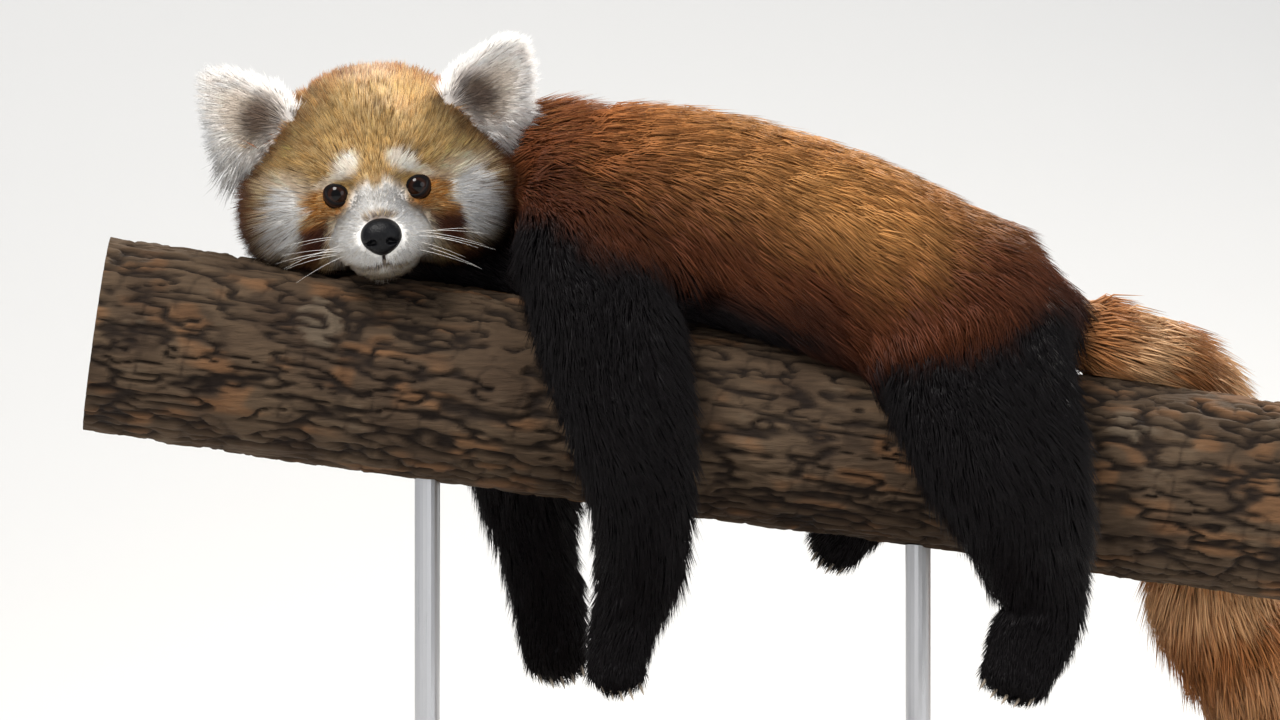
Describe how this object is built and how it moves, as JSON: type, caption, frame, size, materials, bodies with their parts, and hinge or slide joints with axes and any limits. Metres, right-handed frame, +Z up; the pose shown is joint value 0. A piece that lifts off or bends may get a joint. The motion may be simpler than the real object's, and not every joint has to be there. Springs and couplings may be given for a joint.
{
  "type": "red panda museum model",
  "caption": "Life-size still red panda lying along a cut log with its legs and bushy tail hanging, held up by a plain display stand.",
  "frame": {"origin": "centre of the underside of the stand's base, on the floor", "axes": "+Z up; +X along the log from the animal's head towards its rump; -Y is the side the face looks to"},
  "size_m": [0.6853, 0.2361, 0.4408],
  "materials": {
    "face_fur": "short golden-brown fur with white muzzle, cheeks and brow spots and dark red-brown stripes below the eyes",
    "ear_fur": "long white fringe round a dark grey-brown cup",
    "back_fur": "long russet fur, matt",
    "leg_fur": "dense black-brown fur, matt",
    "tail_fur": "very long orange-brown fur with faint paler rings",
    "eye": "polished dark brown glass",
    "nose_skin": "black, fine grained, satin",
    "bark": "deeply furrowed brown bark with pale sawn ends",
    "stand_wood": "dark stained, satin lacquer",
    "stand_metal": "satin"
  },
  "bodies": {
    "root": {"head": "face_fur", "ear_left": "ear_fur", "ear_right": "ear_fur", "eye_left": "eye", "eye_right": "eye", "nose": "nose_skin", "neck": "back_fur", "torso": "back_fur", "upper_foreleg_left": "leg_fur", "lower_foreleg_left": "leg_fur", "forepaw_left": "leg_fur", "upper_foreleg_right": "leg_fur", "lower_foreleg_right": "leg_fur", "forepaw_right": "leg_fur", "thigh_left": "leg_fur", "shank_left": "leg_fur", "hindfoot_left": "leg_fur", "thigh_right": "leg_fur", "shank_right": "leg_fur", "hindfoot_right": "leg_fur", "tail_base": "tail_fur", "tail_upper": "tail_fur", "tail_middle": "tail_fur", "tail_tip": "tail_fur", "perch_log": "bark", "stand_base": "stand_wood", "stand_rod_head_end": "stand_metal", "stand_rod_tail_end": "stand_metal"}
  },
  "joints": []
}
